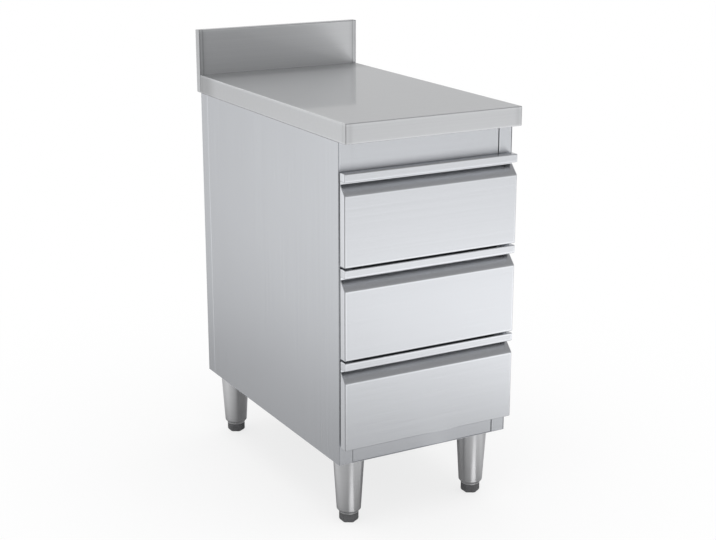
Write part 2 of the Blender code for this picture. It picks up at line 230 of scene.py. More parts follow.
def bent_line(corners, radius, closed):
    """Centre line of a folded sheet as rows of place, side and wear, with an arc at each corner."""
    points = [Vector(corner) for corner in corners]
    rows = []
    for here, point in enumerate(points):
        last = here == len(points) - 1
        if not closed and (here == 0 or last):
            ahead = (point - points[here - 1] if last else points[1] - point).normalized()
            rows.append((point, Vector((-ahead.y, ahead.x)), 0.0))
            continue
        before = point - points[here - 1]
        after = points[(here + 1) % len(points)] - point
        clear_before = min(RUB_FADE, before.length / 4)
        clear_after = min(RUB_FADE, after.length / 4)
        before.normalize()
        after.normalize()
        turn = math.atan2(before.x * after.y - before.y * after.x, before.dot(after))
        reach = radius * math.tan(abs(turn) / 2)
        side = Vector((-before.y, before.x))
        start = point - before * reach
        centre = start + side * math.copysign(radius, turn)
        rows.append((start - before * clear_before, side, 0.0))
        for step in range(ARC_STEPS + 1):
            spin = Matrix.Rotation(turn * step / ARC_STEPS, 2)
            rows.append((centre + spin @ (start - centre), spin @ side, 1.0))
        rows.append((point + after * (reach + clear_after), spin @ side, 0.0))
    return rows


def worn_shape():
    """Empty shape whose points can carry their wear and their weld."""
    shape = bmesh.new()
    shape.verts.layers.float.new("bend")
    shape.verts.layers.float.new("weld_and_shade")
    return shape


def worn_point(shape, place, worn, welded):
    """New point of a shape with its wear and its weld."""
    point = shape.verts.new(place)
    point[shape.verts.layers.float["bend"]] = worn
    point[shape.verts.layers.float["weld_and_shade"]] = welded
    return point


def skin(shape, near, far, closed=True):
    """Row of faces between two lines of points, back to its start where it is closed."""
    for here in range(len(near) if closed else len(near) - 1):
        after = (here + 1) % len(near)
        shape.faces.new((near[here], near[after], far[after], far[here]))


def folded(corners, sheet, radius, axis, low, high, closed=False, marks=((0.0, 0.0),)):
    """Folded sheet drawn out along one axis; marks are weld marks at distances from both ends."""
    rows = bent_line(corners, radius, closed)
    stations = [(low + distance, welded) for distance, welded in marks]
    stations += [(high - distance, welded) for distance, welded in reversed(marks)]
    around = [(station, sheet / 2) for station in stations]
    around += [(station, -sheet / 2) for station in reversed(stations)]
    shape = worn_shape()
    lines = []
    for (end, welded), offset in around:
        line = []
        for place, side, worn in rows:
            point = list(place + side * offset)
            point.insert(axis, end)
            line.append(worn_point(shape, point, worn, welded))
        lines.append(line)
    for near, far in zip(lines, lines[1:] + lines[:1]):
        skin(shape, near, far, closed)
    if not closed:
        for here in range(len(stations) - 1):
            pair = (lines[here], lines[here + 1], lines[-2 - here], lines[-1 - here])
            shape.faces.new([line[0] for line in pair])
            shape.faces.new([line[-1] for line in pair])
    return finished(shape)


steel_upright = brushed_steel("body steel, brushed upright", BODY_COLOUR, ALONG_Z, BODY_ROUGHNESS)
steel_across = brushed_steel("body steel, brushed across", BODY_COLOUR, ALONG_X, BODY_ROUGHNESS)
for row, finish in (("front", steel_across), ("rear", steel_upright)):
    for side in ("left", "right"):
        node = row + "_post_" + side
        low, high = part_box(node)
        left, right = low.x + POST_SHEET / 2, high.x - POST_SHEET / 2
        front, rear = low.y + POST_SHEET / 2, high.y - POST_SHEET / 2
        corners = [(left, front), (right, front), (right, rear), (left, rear)]
        tube = folded(corners, POST_SHEET, POST_RADIUS, 2, low.z, high.z, closed=True)
        stand_in(node + "_tube", tube, finish, "body_steel", "cabinet", node)


# Cross rails: folded stainless channels that tie the posts together at the front and the back.
# Press-braked from 1.2 mm sheet and brushed across; the left end of the top one is ground flush,
# the right ends in front keep an open joint, because the rails are cut a little short.
RAIL_SHEET = 0.0012
RAIL_RADIUS = 0.0008
GROUND_FLUSH = 0.0022
OPEN_JOINT = 0.0020


def channel_line(web, edge, low, high, sheet):
    """Centre line of a folded C with its web at one side."""
    middle = web + math.copysign(sheet / 2, edge - web)
    bottom, top = low + sheet / 2, high - sheet / 2
    return [(edge, bottom), (middle, bottom), (middle, top), (edge, top)]


for node in ("top_front_rail", "bottom_front_rail", "top_rear_rail", "bottom_rear_rail"):
    low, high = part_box(node)
    web, edge = (low.y, high.y) if "front" in node else (high.y, low.y)
    line = channel_line(web, edge, low.z, high.z, RAIL_SHEET)
    left_end = low.x - GROUND_FLUSH if node == "top_front_rail" else low.x
    right_end = high.x - OPEN_JOINT if "front" in node else high.x
    rail = folded(line, RAIL_SHEET, RAIL_RADIUS, 0, left_end, right_end)
    stand_in(node + "_channel", rail, steel_across, "body_steel", "cabinet", node)


# Side panels: one plain stainless sheet on each side, from the front edge to the rear post.
# Laser cut from 1 mm sheet with the grain upright, spot-welded to the front post from inside.
for side in ("left", "right"):
    node = "side_panel_" + side
    panel = flat_sheet(*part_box(node))
    stand_in("side_sheet_" + side, panel, steel_upright, "body_steel", "cabinet", node)


# Back panel: a stainless sheet between the rear posts, held to the rear rails by blind rivets.
# The rivets have domed aluminium heads, three across the top, three across the bottom.
BACK_RIVET = (0.0035, 0.0014, 0.0)
BACK_RIVETS_ACROSS = (-0.145, 0.0, 0.145)
TO_THE_BACK = (-math.pi / 2, 0, 0)
RECESS_PER_RADIUS = 1.1
HEAD_MERGE = 0.00002


def plated(name, colour, roughness, mottle):
    """Bright plated or cast metal with a mottled face and fine scratches."""
    material, tree, inputs = new_finish(name, 1.0)
    spots = noise_layer(tree, "mottle", (mottle, mottle, mottle), 3.0)
    scratches = noise_layer(tree, "scratches", (900.0, 40.0, 900.0), 3.0)
    bend = mesh_layer(tree, "bend")
    strength = weighted(tree, 1.0, (spots, 0.35, 0.5), (scratches, 0.10, 0.5), (bend, 0.08, 0.0))
    gloss = weighted(tree, roughness, (spots, 0.25, 0.5), (scratches, 0.10, 0.5))
    tree.links.new(tinted(tree, colour, strength), inputs["Base Color"])
    tree.links.new(gloss, inputs["Roughness"])
    tree.links.new(raised(tree, scratches, 0.00005, 0.4), inputs["Normal"])
    return material


def fastener_heads():
    """Geometry Nodes tree that sets a domed head, with or without a cross recess, on each point."""
    tree = bpy.data.node_groups.new("fastener heads", "GeometryNodeTree")
    tree.is_modifier = True
    named_inputs = {
        "Points": "Geometry", "Head Radius": "Float", "Head Height": "Float", "Recess Width": "Float",
        "Turn": "Vector", "Finish": "Material",
    }
    for name, kind in named_inputs.items():
        tree.interface.new_socket(name, in_out="INPUT", socket_type="NodeSocket" + kind)
    tree.interface.new_socket("Heads", in_out="OUTPUT", socket_type="NodeSocketGeometry")
    add = partial(add_node, tree)
    given = tree.nodes.new("NodeGroupInput").outputs
    radius, height, recess = given["Head Radius"], given["Head Height"], given["Recess Width"]
    ball = add("GeometryNodeMeshUVSphere", Segments=20, Rings=12, Radius=1.0)
    shaped = add("GeometryNodeTransform", ball, Scale=add("CombineXYZ", radius, radius, height))
    # The lower half of the ball is pressed flat, up to the surface that the head sits on.
    seat = add("VectorMath", add("GeometryNodeInputPosition"), (-1.0, -1.0, 0.0), operation="MAXIMUM")
    dome = add("GeometryNodeSetPosition", shaped, Position=seat)
    length = add("Math", radius, RECESS_PER_RADIUS, operation="MULTIPLY")
    lift = add("CombineXYZ", Z=height)
    bars = []
    for bar_size in ((length, recess, height), (recess, length, height)):
        bar = add("GeometryNodeMeshCube", add("CombineXYZ", *bar_size))
        bars.append(add("GeometryNodeTransform", bar, lift))
    cut = add(
        "GeometryNodeMeshBoolean", dome, bars[0], Self_Intersection=True, operation="DIFFERENCE",
        solver="EXACT",
    )
    tree.links.new(bars[1], cut.node.inputs["Mesh 2"])
    crossed = add("GeometryNodeMergeByDistance", cut, Distance=HEAD_MERGE)
    has_recess = add("FunctionNodeCompare", recess, operation="GREATER_THAN")
    head = add("GeometryNodeSwitch", has_recess, dome, crossed, input_type="GEOMETRY")
    turn = add("FunctionNodeEulerToRotation", given["Turn"])
    placed = add("GeometryNodeInstanceOnPoints", given["Points"], Instance=head, Rotation=turn)
    real = add("GeometryNodeRealizeInstances", placed)
    painted = add("GeometryNodeSetMaterial", real, Material=given["Finish"])
    tree.links.new(painted, tree.nodes.new("NodeGroupOutput").inputs["Heads"])
    return tree


heads_tree = fastener_heads()


def fasten(name, places, turn, head, finish, body):
    """Set like fasteners on their places, as one plain mesh; a head is radius, height and recess width."""
    inputs = dict(zip(("Head Radius", "Head Height", "Recess Width"), head), Turn=turn, Finish=finish)
    points = bpy.data.meshes.new(name + "_points")
    points.from_pydata(places, [], [])
    piece = bpy.data.objects.new(name, points)
    collection.objects.link(piece)
    heads = piece.modifiers.new("heads", "NODES")
    heads.node_group = heads_tree
    for socket in heads_tree.interface.items_tree:
        if socket.name in inputs:
            heads[socket.identifier] = inputs[socket.name]
    mesh = applied(piece)
    piece.modifiers.clear()
    piece.data = mesh
    mesh.shade_smooth()
    mesh.set_sharp_from_angle(angle=CREASE)
    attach(piece, body)


aluminium = plated("rivet aluminium", colour=(0.66, 0.66, 0.67), roughness=0.36, mottle=260.0)
back_low, back_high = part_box("back_panel")
back = flat_sheet(back_low, back_high)
stand_in("back_sheet", back, steel_upright, "body_steel", "cabinet", "back_panel")
rivet_places = []
for rail in ("top_rear_rail", "bottom_rear_rail"):
    low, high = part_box(rail)
    rivet_places += [(x, back_high.y, (low.z + high.z) / 2) for x in BACK_RIVETS_ACROSS]
fasten("back_rivets", rivet_places, TO_THE_BACK, BACK_RIVET, aluminium, "cabinet")


# Leg plates: square stainless plates under the base, each held by four cross-recessed screws.
# Sheared from 3 mm sheet; the leg covers the hole for its spigot in the middle, so that stays closed.
PLATE_SCREW = (0.0045, 0.0022, 0.0011)
SCREW_FROM_MIDDLE = 0.0285
SCREWED_UPWARDS = (math.pi, 0, 0.4)
zinc = plated("runner zinc", colour=(0.56, 0.57, 0.59), roughness=0.36, mottle=70.0)
leg_places = {}
for row in ("front", "rear"):
    for side in ("left", "right"):
        corner = row + "_" + side
        node = "leg_plate_" + corner
        low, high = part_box(node)
        middle = (low + high) / 2
        leg_places[corner] = Vector((middle.x, middle.y, 0.0))
        plate = flat_sheet(low, high)
        stand_in("leg_plate_sheet_" + corner, plate, steel_along, "body_steel", "cabinet", node)
        screw_places = []
        for x in (-SCREW_FROM_MIDDLE, SCREW_FROM_MIDDLE):
            for y in (-SCREW_FROM_MIDDLE, SCREW_FROM_MIDDLE):
                screw_places.append((middle.x + x, middle.y + y, low.z))
        screws = "leg_plate_screws_" + corner
        fasten(screws, screw_places, SCREWED_UPWARDS, PLATE_SCREW, zinc, "cabinet")


# Legs: tapered tubes of polished stainless steel, welded to a cap under the plate.
# Spun on a mandrel, so the polish runs round them, with a coned shoulder at the lower end.
LEG_COLOUR = (0.83, 0.835, 0.85)
LEG_PLATE_GAP = 0.0003
LEG_TOP_RADIUS = 0.0325
LEG_END_RADIUS = 0.0253
LEG_NECK_RADIUS = 0.0205
LEG_WALL = 0.0020
LEG_SHOULDER = 0.0048
LEG_NECK_HEIGHT = 0.003
LEG_INSERT_HEIGHT = 0.022
LEG_CAP_THICKNESS = 0.003
LEG_SIDES = 64
WELD_WIDTH = 0.0014
BORE_RADIUS = 0.0103


def lofted(rows):
    """Closed mesh through rows of ring and wear; each point of a ring comes with its weld."""
    shape = worn_shape()
    rings = [[worn_point(shape, point, worn, welded) for point, welded in ring] for ring, worn in rows]
    for near, far in zip(rings, rings[1:]):
        skin(shape, near, far)
    shape.faces.new(rings[0])
    shape.faces.new(rings[-1])
    return finished(shape)


def level_ring(radii, height, welded=0.0):
    """Level ring with one point for each radius, evenly spaced round the axis."""
    ring = []
    for step, radius in enumerate(radii):
        angle = 2 * math.pi * step / len(radii)
        ring.append((Vector((radius * math.cos(angle), radius * math.sin(angle), height)), welded))
    return ring


leg_steel = brushed_steel("leg steel, polished round", LEG_COLOUR, ROUND, roughness=0.33, spread=0.9)
leg_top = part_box("leg_plate_front_left")[0].z - LEG_PLATE_GAP
leg_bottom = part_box("leg_front_left")[0].z
shoulder_bottom = leg_bottom + LEG_NECK_HEIGHT
shoulder_top = shoulder_bottom + LEG_SHOULDER
insert_top = leg_bottom + LEG_INSERT_HEIGHT
# Rows of radius, height, wear and weld, down the outside and up again inside.
leg_profile = [
    (LEG_TOP_RADIUS + WELD_WIDTH, leg_top, 0, 1),
    (LEG_TOP_RADIUS + WELD_WIDTH * 0.9, leg_top - WELD_WIDTH * 0.5, 0, 1),
    (LEG_TOP_RADIUS + WELD_WIDTH * 0.4, leg_top - WELD_WIDTH * 0.9, 0, 1),
    (LEG_TOP_RADIUS - 0.0001, leg_top - WELD_WIDTH * 1.2, 0, 1),
    (LEG_TOP_RADIUS - 0.0004, leg_top - 0.006, 0, 0),
    (LEG_END_RADIUS + 0.0003, shoulder_top + 0.005, 0, 0),
    (LEG_END_RADIUS, shoulder_top + 0.0006, 1, 0),
    (LEG_END_RADIUS - 0.0003, shoulder_top - 0.0002, 1, 0),
    (LEG_END_RADIUS - 0.0009, shoulder_top - 0.0010, 1, 0),
    (LEG_NECK_RADIUS + 0.0006, shoulder_bottom + 0.0004, 1, 0),
    (LEG_NECK_RADIUS + 0.0001, shoulder_bottom - 0.0003, 1, 0),
    (LEG_NECK_RADIUS, shoulder_bottom - 0.0010, 0, 0),
    (LEG_NECK_RADIUS, leg_bottom + 0.0003, 1, 0),
    (LEG_NECK_RADIUS - 0.0003, leg_bottom, 1, 0),
    (BORE_RADIUS, leg_bottom, 0, 0),
    (BORE_RADIUS, insert_top, 0, 0),
    (LEG_END_RADIUS - LEG_WALL, insert_top, 0, 0),
    (LEG_TOP_RADIUS - LEG_WALL - 0.0003, leg_top - LEG_CAP_THICKNESS, 0, 0),
]
leg_rows = []
for radius, height, worn, welded in leg_profile:
    leg_rows.append((level_ring([radius] * LEG_SIDES, height, welded), worn))
for corner, place in leg_places.items():
    leg = lofted(leg_rows)
    leg.transform(Matrix.Translation(place))
    stand_in("leg_tube_" + corner, leg, leg_steel, "leg_steel", "cabinet", "leg_" + corner)


# Levelling feet: dark moulded plastic feet with a hexagon for a spanner and a rounded sole.
# A coarse thread on the stem screws up into the insert in the end of the leg.
FOOT_COLOUR = (0.11, 0.111, 0.115)
FOOT_SIDES = 48
FOOT_HEIGHT = 0.020
FOOT_CORNER = 0.0209
FOOT_FLAT = FOOT_CORNER * math.cos(math.pi / 6)
CORNER_ROUNDING = 0.0007
THREAD_RADIUS = 0.0099
THREAD_DEPTH = 0.0008
THREAD_PITCH = 0.002
THREAD_END = 0.069
RINGS_PER_PITCH = 6


def moulded_plastic(name, colour, roughness):
    """Dark moulded plastic with a fine spark-eroded grain and rubbed edges."""
    material, tree, inputs = new_finish(name, 0.0)
    grain = noise_layer(tree, "mould grain", (1400.0, 1400.0, 1400.0), 3.0)
    dust = noise_layer(tree, "dust", (60.0, 60.0, 60.0), 3.0)
    bend = mesh_layer(tree, "bend")
    strength = weighted(tree, 1.0, (grain, 0.30, 0.5), (dust, 0.35, 0.5), (bend, 0.25, 0.0))
    gloss = weighted(tree, roughness, (grain, 0.20, 0.5), (dust, 0.15, 0.5))
    tree.links.new(tinted(tree, colour, strength), inputs["Base Color"])
    tree.links.new(gloss, inputs["Roughness"])
    tree.links.new(raised(tree, grain, 0.00012, 0.6), inputs["Normal"])
    return material


def hexagon_radii(inset):
    """Radii round a hexagon with flats to the sides and rounded corners, drawn in by an inset."""
    radii = []
    for step in range(FOOT_SIDES):
        angle = 2 * math.pi * step / FOOT_SIDES
        from_flat = (angle + math.pi / 6) % (math.pi / 3) - math.pi / 6
        radii.append(min(FOOT_FLAT / math.cos(from_flat), FOOT_CORNER - CORNER_ROUNDING) - inset)
    return radii


def thread_radii(height):
    """Radii round a screw thread at one height."""
    radii = []
    for step in range(FOOT_SIDES):
        along = (height / THREAD_PITCH - step / FOOT_SIDES) % 1.0
        radii.append(THREAD_RADIUS - THREAD_DEPTH * abs(2 * along - 1))
    return radii


# Rows of inset, height and wear, up from the middle of the sole.
foot_profile = [
    (0.0050, 0.0, 0),
    (0.0034, 0.0004, 0),
    (0.0017, 0.0014, 0.5),
    (0.0005, 0.0030, 1),
    (0.0, 0.0048, 0.3),
    (0.0, FOOT_HEIGHT - 0.0022, 0.2),
    (0.0003, FOOT_HEIGHT - 0.0008, 0),
    (0.0010, FOOT_HEIGHT, 0),
]
foot_rows = [(level_ring(hexagon_radii(inset), height), worn) for inset, height, worn in foot_profile]
thread_steps = round((THREAD_END - FOOT_HEIGHT) / THREAD_PITCH * RINGS_PER_PITCH)
for step in range(thread_steps + 1):
    height = FOOT_HEIGHT + (THREAD_END - FOOT_HEIGHT) * step / thread_steps
    foot_rows.append((level_ring(thread_radii(height), height), 0))
foot_plastic = moulded_plastic("foot plastic", FOOT_COLOUR, roughness=0.28)
for corner, place in leg_places.items():
    foot = lofted(foot_rows)
    foot.transform(Matrix.Translation(place))
    body = "levelling_foot_" + corner
    stand_in("foot_moulding_" + corner, foot, foot_plastic, "foot_plastic", body, "foot_" + corner)


# Telescopic runners: three nested zinc-plated members on each side of each drawer.
# Roll-formed from 1.2 mm strip; the outer one is screwed to the posts, the inner one to the tray.
RUNNER_SHEET = 0.0012
RUNNER_RADIUS = 0.0012
RUNNER_SCREW = (0.0038, 0.0018, 0.0010)
RUNNER_SCREWS_ALONG = (0.045, 0.21, 0.40, 0.56)
for number in ("1", "2", "3"):
    for side, sign in (("left", -1), ("right", 1)):
        members = (
            ("cabinet_runner_", "cabinet", True),
            ("middle_runner_", "middle_runners_" + number, True),
            ("drawer_runner_", "drawer_" + number, False),
        )
        for kind, body, web_outside in members:
            node = kind + number + "_" + side
            low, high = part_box(node)
            outer, inner = (low.x, high.x) if side == "left" else (high.x, low.x)
            web, edge = (outer, inner) if web_outside else (inner, outer)
            line = channel_line(web, edge, low.z, high.z, RUNNER_SHEET)
            member = folded(line, RUNNER_SHEET, RUNNER_RADIUS, 1, low.y, high.y)
            stand_in(node + "_channel", member, zinc, "runner_zinc", body, node)
        # The last member is the one on the tray, which the screws go through.
        inside_web = inner + sign * RUNNER_SHEET
        middle = (low.z + high.z) / 2
        screw_places = [(inside_web, low.y + along, middle) for along in RUNNER_SCREWS_ALONG]
        outwards = (0, sign * math.pi / 2, 0)
        screws = "runner_screws_" + number + "_" + side
        fasten(screws, screw_places, outwards, RUNNER_SCREW, zinc, "drawer_" + number)


# Drawer trays: open boxes of 1 mm stainless sheet behind the fronts, with a hemmed rim.
# Folded from one blank, welded up the corners, and riveted through the front wall to the front.
TRAY_SHEET = 0.0010
TRAY_CORNER = 0.0025
TRAY_LEAST_CORNER = 0.0008
TRAY_BEND = 0.0015
TRAY_INSIDE_BEND = 0.0010
TRAY_FADE = 0.0035
TRAY_FLOOR_INSET = 0.0060
HEM_DEPTH = 0.009
HEM_RADIUS = 0.0010
TRAY_RIVET = (0.0034, 0.0012, 0.0)
TRAY_RIVETS_ACROSS = (-0.12, -0.04, 0.04, 0.12)
TRAY_RIVETS_FROM_EDGE = 0.030


def rounded_ring(low, high, inset, radius, z, marks=()):
    """Level ring inside a box with rounded corners; marks add points beside them, with their weld."""
    left, right = low.x + inset + radius, high.x - inset - radius
    front, rear = low.y + inset + radius, high.y - inset - radius
    ring = []
    for quarter, (x, y) in enumerate(((left, front), (right, front), (right, rear), (left, rear))):
        start = math.pi + quarter * math.pi / 2
        arc = []
        for step in range(ARC_STEPS + 1):
            angle = start + math.pi / 2 * step / ARC_STEPS
            arc.append(Vector((x + radius * math.cos(angle), y + radius * math.sin(angle), z)))
        before = Vector((-math.sin(start), math.cos(start), 0))
        after = Vector((-math.cos(start), -math.sin(start), 0))
        ring += [(arc[0] - before * distance, welded) for distance, welded in reversed(marks)]
        ring += [(point, 1.0 if marks else 0.0) for point in arc]
        ring += [(arc[-1] + after * distance, welded) for distance, welded in marks]
    return ring


def lofted_box(low, high, rows, corner, least_corner, marks=(), marked_inset=0.0):
    """Box of sheet through rows of inset, height and wear, its outer corners marked by their welds."""
    rings = []
    for inset, z, worn in rows:
        ring = rounded_ring(low, high, inset, max(corner - inset, least_corner), z, marks)
        if inset > marked_inset:
            ring = [(point, 0.0) for point, _ in ring]
        rings.append((ring, worn))
    return lofted(rings)


def rubbed_arc(inset, z, radius, start, end, steps=ARC_STEPS):
    """Rows round a bend, from one angle to another in degrees about its centre, rubbed bright."""
    rows = []
    for step in range(steps + 1):
        angle = math.radians(start + (end - start) * step / steps)
        rows.append((inset + radius * math.cos(angle), z + radius * math.sin(angle), 1.0))
    return rows


def tray_mesh(low, high):
    """Tray from the middle of its underside, up over the rim and down to its floor."""
    floor = low.z + TRAY_SHEET
    hem_bottom = high.z - HEM_DEPTH
    below_rim = high.z - HEM_RADIUS - RUB_FADE
    inside_bend = TRAY_SHEET + TRAY_INSIDE_BEND
    rows = [(TRAY_FLOOR_INSET, low.z, 0.0)]
    rows += rubbed_arc(TRAY_BEND, low.z + TRAY_BEND, TRAY_BEND, -90, -180)
    rows += [(0.0, low.z + TRAY_BEND + TRAY_FADE, 0.0), (0.0, below_rim, 0.0)]
    rows += rubbed_arc(HEM_RADIUS, high.z - HEM_RADIUS, HEM_RADIUS, 180, 0)
    rows += [(2 * HEM_RADIUS, below_rim, 0.0), (2 * HEM_RADIUS, hem_bottom, 0.0)]
    rows += [(TRAY_SHEET, hem_bottom, 0.0), (TRAY_SHEET, floor + TRAY_INSIDE_BEND + RUB_FADE, 0.0)]
    rows += rubbed_arc(inside_bend, floor + TRAY_INSIDE_BEND, TRAY_INSIDE_BEND, 180, 270)
    rows += [(TRAY_FLOOR_INSET, floor, 0.0)]
    return lofted_box(low, high, rows, TRAY_CORNER, TRAY_LEAST_CORNER)


for number in ("1", "2", "3"):
    node = "drawer_tray_" + number
    body = "drawer_" + number
    low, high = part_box(node)
    stand_in("tray_box_" + number, tray_mesh(low, high), steel_along, "body_steel", body, node)
    rivet_places = []
    for z in (low.z + TRAY_RIVETS_FROM_EDGE, high.z - TRAY_RIVETS_FROM_EDGE):
        rivet_places += [(x, low.y + TRAY_SHEET, z) for x in TRAY_RIVETS_ACROSS]
    fasten("tray_rivets_" + number, rivet_places, TO_THE_BACK, TRAY_RIVET, aluminium, body)


# Drawer fronts: hollow stainless panels with a bevel that leads into a grip channel under a lip.
# Press-braked from 1 mm sheet and brushed across; the corners are welded and ground, and a plain
# sheet closes the back.
FRONT_COLOUR = (0.695, 0.71, 0.74)
FRONT_SHEET = 0.0010
LIP_HEIGHT = 0.017
LIP_RETURN = 0.006
GRIP_OPENING = 0.0255
GRIP_UPRIGHT = 0.006
STRIP_OVERLAP = 0.004
STRIP_BELOW_TOP = 0.003
FRONT_BEND = 0.0018
BEND_STEPS = 4
BEND_FADE = 0.0035
CORNER_SHADE_REACH = 0.95 * FRONT_BEND
CORNER_PAINTED_SHADE = 2.5
LIP_DULL_PAINTED_SHADE = 3.3
LARGE_FACE = 0.002
SAME_PLACE = 0.00001
SORTING_LINE = Vector((0.62, 0.53, 0.58))
front_low, front_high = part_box("drawer_front_1")
front_half = front_high.x
front_depth = front_high.y - front_low.y
front_height = front_high.z - front_low.z
front_inside = front_depth - FRONT_SHEET
lip_bottom = front_height - LIP_HEIGHT
face_top = lip_bottom - GRIP_OPENING
bevel_slope = (GRIP_OPENING - GRIP_UPRIGHT) / front_inside


def prism(outline, low, high):
    """Solid from an outline of depth and height, drawn out from one side to the other."""
    shape = bmesh.new()
    ends = [[shape.verts.new((x, depth, height)) for depth, height in outline] for x in (low, high)]
    shape.faces.new(ends[0])
    shape.faces.new(ends[1])
    skin(shape, *ends)
    bmesh.ops.recalc_face_normals(shape, faces=shape.faces)
    return shape


def bend_edges(shape, keep_sharp=None):
    """Round the edges of a prism and leave a border round each flat, where the rubbed bend fades."""
    edges = []
    for edge in shape.edges:
        middle = (edge.verts[0].co + edge.verts[1].co) / 2
        if keep_sharp is None or not keep_sharp(middle):
            edges.append(edge)
    bmesh.ops.bevel(shape, geom=edges, offset=FRONT_BEND, segments=BEND_STEPS, profile=0.5, affect="EDGES")
    flats = [face for face in shape.faces if face.calc_area() > LARGE_FACE and abs(face.normal.x) < 0.5]
    bmesh.ops.inset_individual(shape, faces=flats, thickness=BEND_FADE, use_even_offset=True)
    return shape


def holder_of(shape):
    """Object that holds a shape while it is joined or cut."""
    mesh = bpy.data.meshes.new("blank")
    shape.to_mesh(mesh)
    shape.free()
    holder = bpy.data.objects.new("blank", mesh)
    collection.objects.link(holder)
    return holder


def mark_front(mesh):
    """Mark a joined front by place: rubbed bends, painted shade up its front corners, and a dull hollow in
    its lip with painted shade.
    """
    bend = mesh.attributes.new("bend", "FLOAT", "POINT").data
    weld_and_shade = mesh.attributes.new("weld_and_shade", "FLOAT", "POINT").data
    for point in mesh.vertices:
        from_end = front_half - abs(point.co.x)
        in_hollow = abs(from_end - FRONT_SHEET) < SAME_PLACE
        if from_end < FRONT_BEND + BEND_FADE / 2:
            bend[point.index].value = 1.0
        # The lip's hollow is dulled and its colour darkened, a painted shade under the lip.
        if point.co.z > lip_bottom:
            weld_and_shade[point.index].value = LIP_DULL_PAINTED_SHADE if in_hollow else 0.0
        # Along the upright front corners the colour is darkened, a painted dark line on the bend.
        elif from_end < CORNER_SHADE_REACH and point.co.y < CORNER_SHADE_REACH:
            weld_and_shade[point.index].value = CORNER_PAINTED_SHADE


def front_mesh():
    """Face pan, back strip and lip joined, with the hollows behind the face and the lip cut out."""
    bevel_top = face_top + bevel_slope * front_depth
    pan_outline = [(0, 0), (0, face_top), (front_depth, bevel_top), (front_depth, 0)]
    lip_outline = [
        (0, lip_bottom), (0, front_height), (front_depth, front_height), (front_depth, lip_bottom),
    ]
    strip_low, strip_high = bevel_top - STRIP_OVERLAP, front_height - STRIP_BELOW_TOP
    strip_outline = [
        (front_inside, strip_low), (front_inside, strip_high),
        (front_depth, strip_high), (front_depth, strip_low),
    ]
    hollow_top = face_top - FRONT_SHEET * math.hypot(1, bevel_slope)
    past_back = 2 * front_depth
    face_hollow = [
        (FRONT_SHEET, FRONT_SHEET), (FRONT_SHEET, hollow_top + bevel_slope * FRONT_SHEET),
        (past_back, hollow_top + bevel_slope * past_back), (past_back, FRONT_SHEET),
    ]
    roof = front_height - FRONT_SHEET
    lip_floor = lip_bottom + FRONT_SHEET
    open_bottom = lip_bottom - GRIP_UPRIGHT / 2
    lip_hollow = [
        (FRONT_SHEET, roof), (FRONT_SHEET, lip_floor), (LIP_RETURN, lip_floor),
        (LIP_RETURN, open_bottom), (front_inside, open_bottom), (front_inside, roof),
    ]

    def at_pan_tip(point):
        return point.y > front_inside and point.z > face_top

    def blank(outline, inset=0.0):
        return prism(outline, inset - front_half, front_half - inset)

    pan = holder_of(bend_edges(blank(pan_outline), at_pan_tip))
    steps = (
        ("UNION", holder_of(bend_edges(blank(lip_outline)))),
        ("UNION", holder_of(blank(strip_outline, FRONT_BEND / 2))),
        ("DIFFERENCE", holder_of(blank(face_hollow, FRONT_SHEET))),
        ("DIFFERENCE", holder_of(blank(lip_hollow, FRONT_SHEET))),
    )
    for operation, other in steps:
        step = pan.modifiers.new("step", "BOOLEAN")
        step.operation = operation
        step.solver = "EXACT"
        step.object = other
    mesh = applied(pan)
    for holder in [pan] + [other for _, other in steps]:
        bpy.data.objects.remove(holder)
    shape = bmesh.new()
    shape.from_mesh(mesh)
    # Joining leaves the points in any order; once sorted, they merge alike in every run.
    shape.verts.sort(key=lambda point: point.co.dot(SORTING_LINE))
    bmesh.ops.remove_doubles(shape, verts=shape.verts, dist=SAME_PLACE)
    bmesh.ops.dissolve_degenerate(shape, edges=shape.edges, dist=SAME_PLACE)
    shape.to_mesh(mesh)
    shape.free()
    mark_front(mesh)
    return levelled(mesh)


front_steel = brushed_steel("front steel, brushed across", FRONT_COLOUR, ALONG_X, BODY_ROUGHNESS)
for number in ("1", "2", "3"):
    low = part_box("drawer_front_" + number)[0]
    body = "drawer_" + number
    front = front_mesh()
    front.transform(Matrix.Translation((0, low.y, low.z)))
    stand_in("front_panel_" + number, front, front_steel, "front_steel", body, "drawer_front_" + number)
    node = "drawer_backing_" + number
    backing = flat_sheet(*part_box(node))
    stand_in("front_backing_" + number, backing, steel_across, "body_steel", body, node)


# Buffers: small rubber domes on the front posts, on which the closed fronts come to rest.
# Two on each post for each drawer, moulded with a stem and pressed into a hole in the tube.
BUFFER = (0.0045, 0.0034, 0.0)
BUFFERS_UP = (0.030, 0.130)
TO_THE_FRONT = (math.pi / 2, 0, 0)
rubber = moulded_plastic("buffer rubber", colour=(0.03, 0.03, 0.031), roughness=0.6)
buffer_places = []
for side in ("left", "right"):
    low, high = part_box("front_post_" + side)
    for number in ("1", "2", "3"):
        front_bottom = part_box("drawer_front_" + number)[0].z
        buffer_places += [((low.x + high.x) / 2, low.y, front_bottom + up) for up in BUFFERS_UP]
fasten("post_buffers", buffer_places, TO_THE_FRONT, BUFFER, rubber, "cabinet")


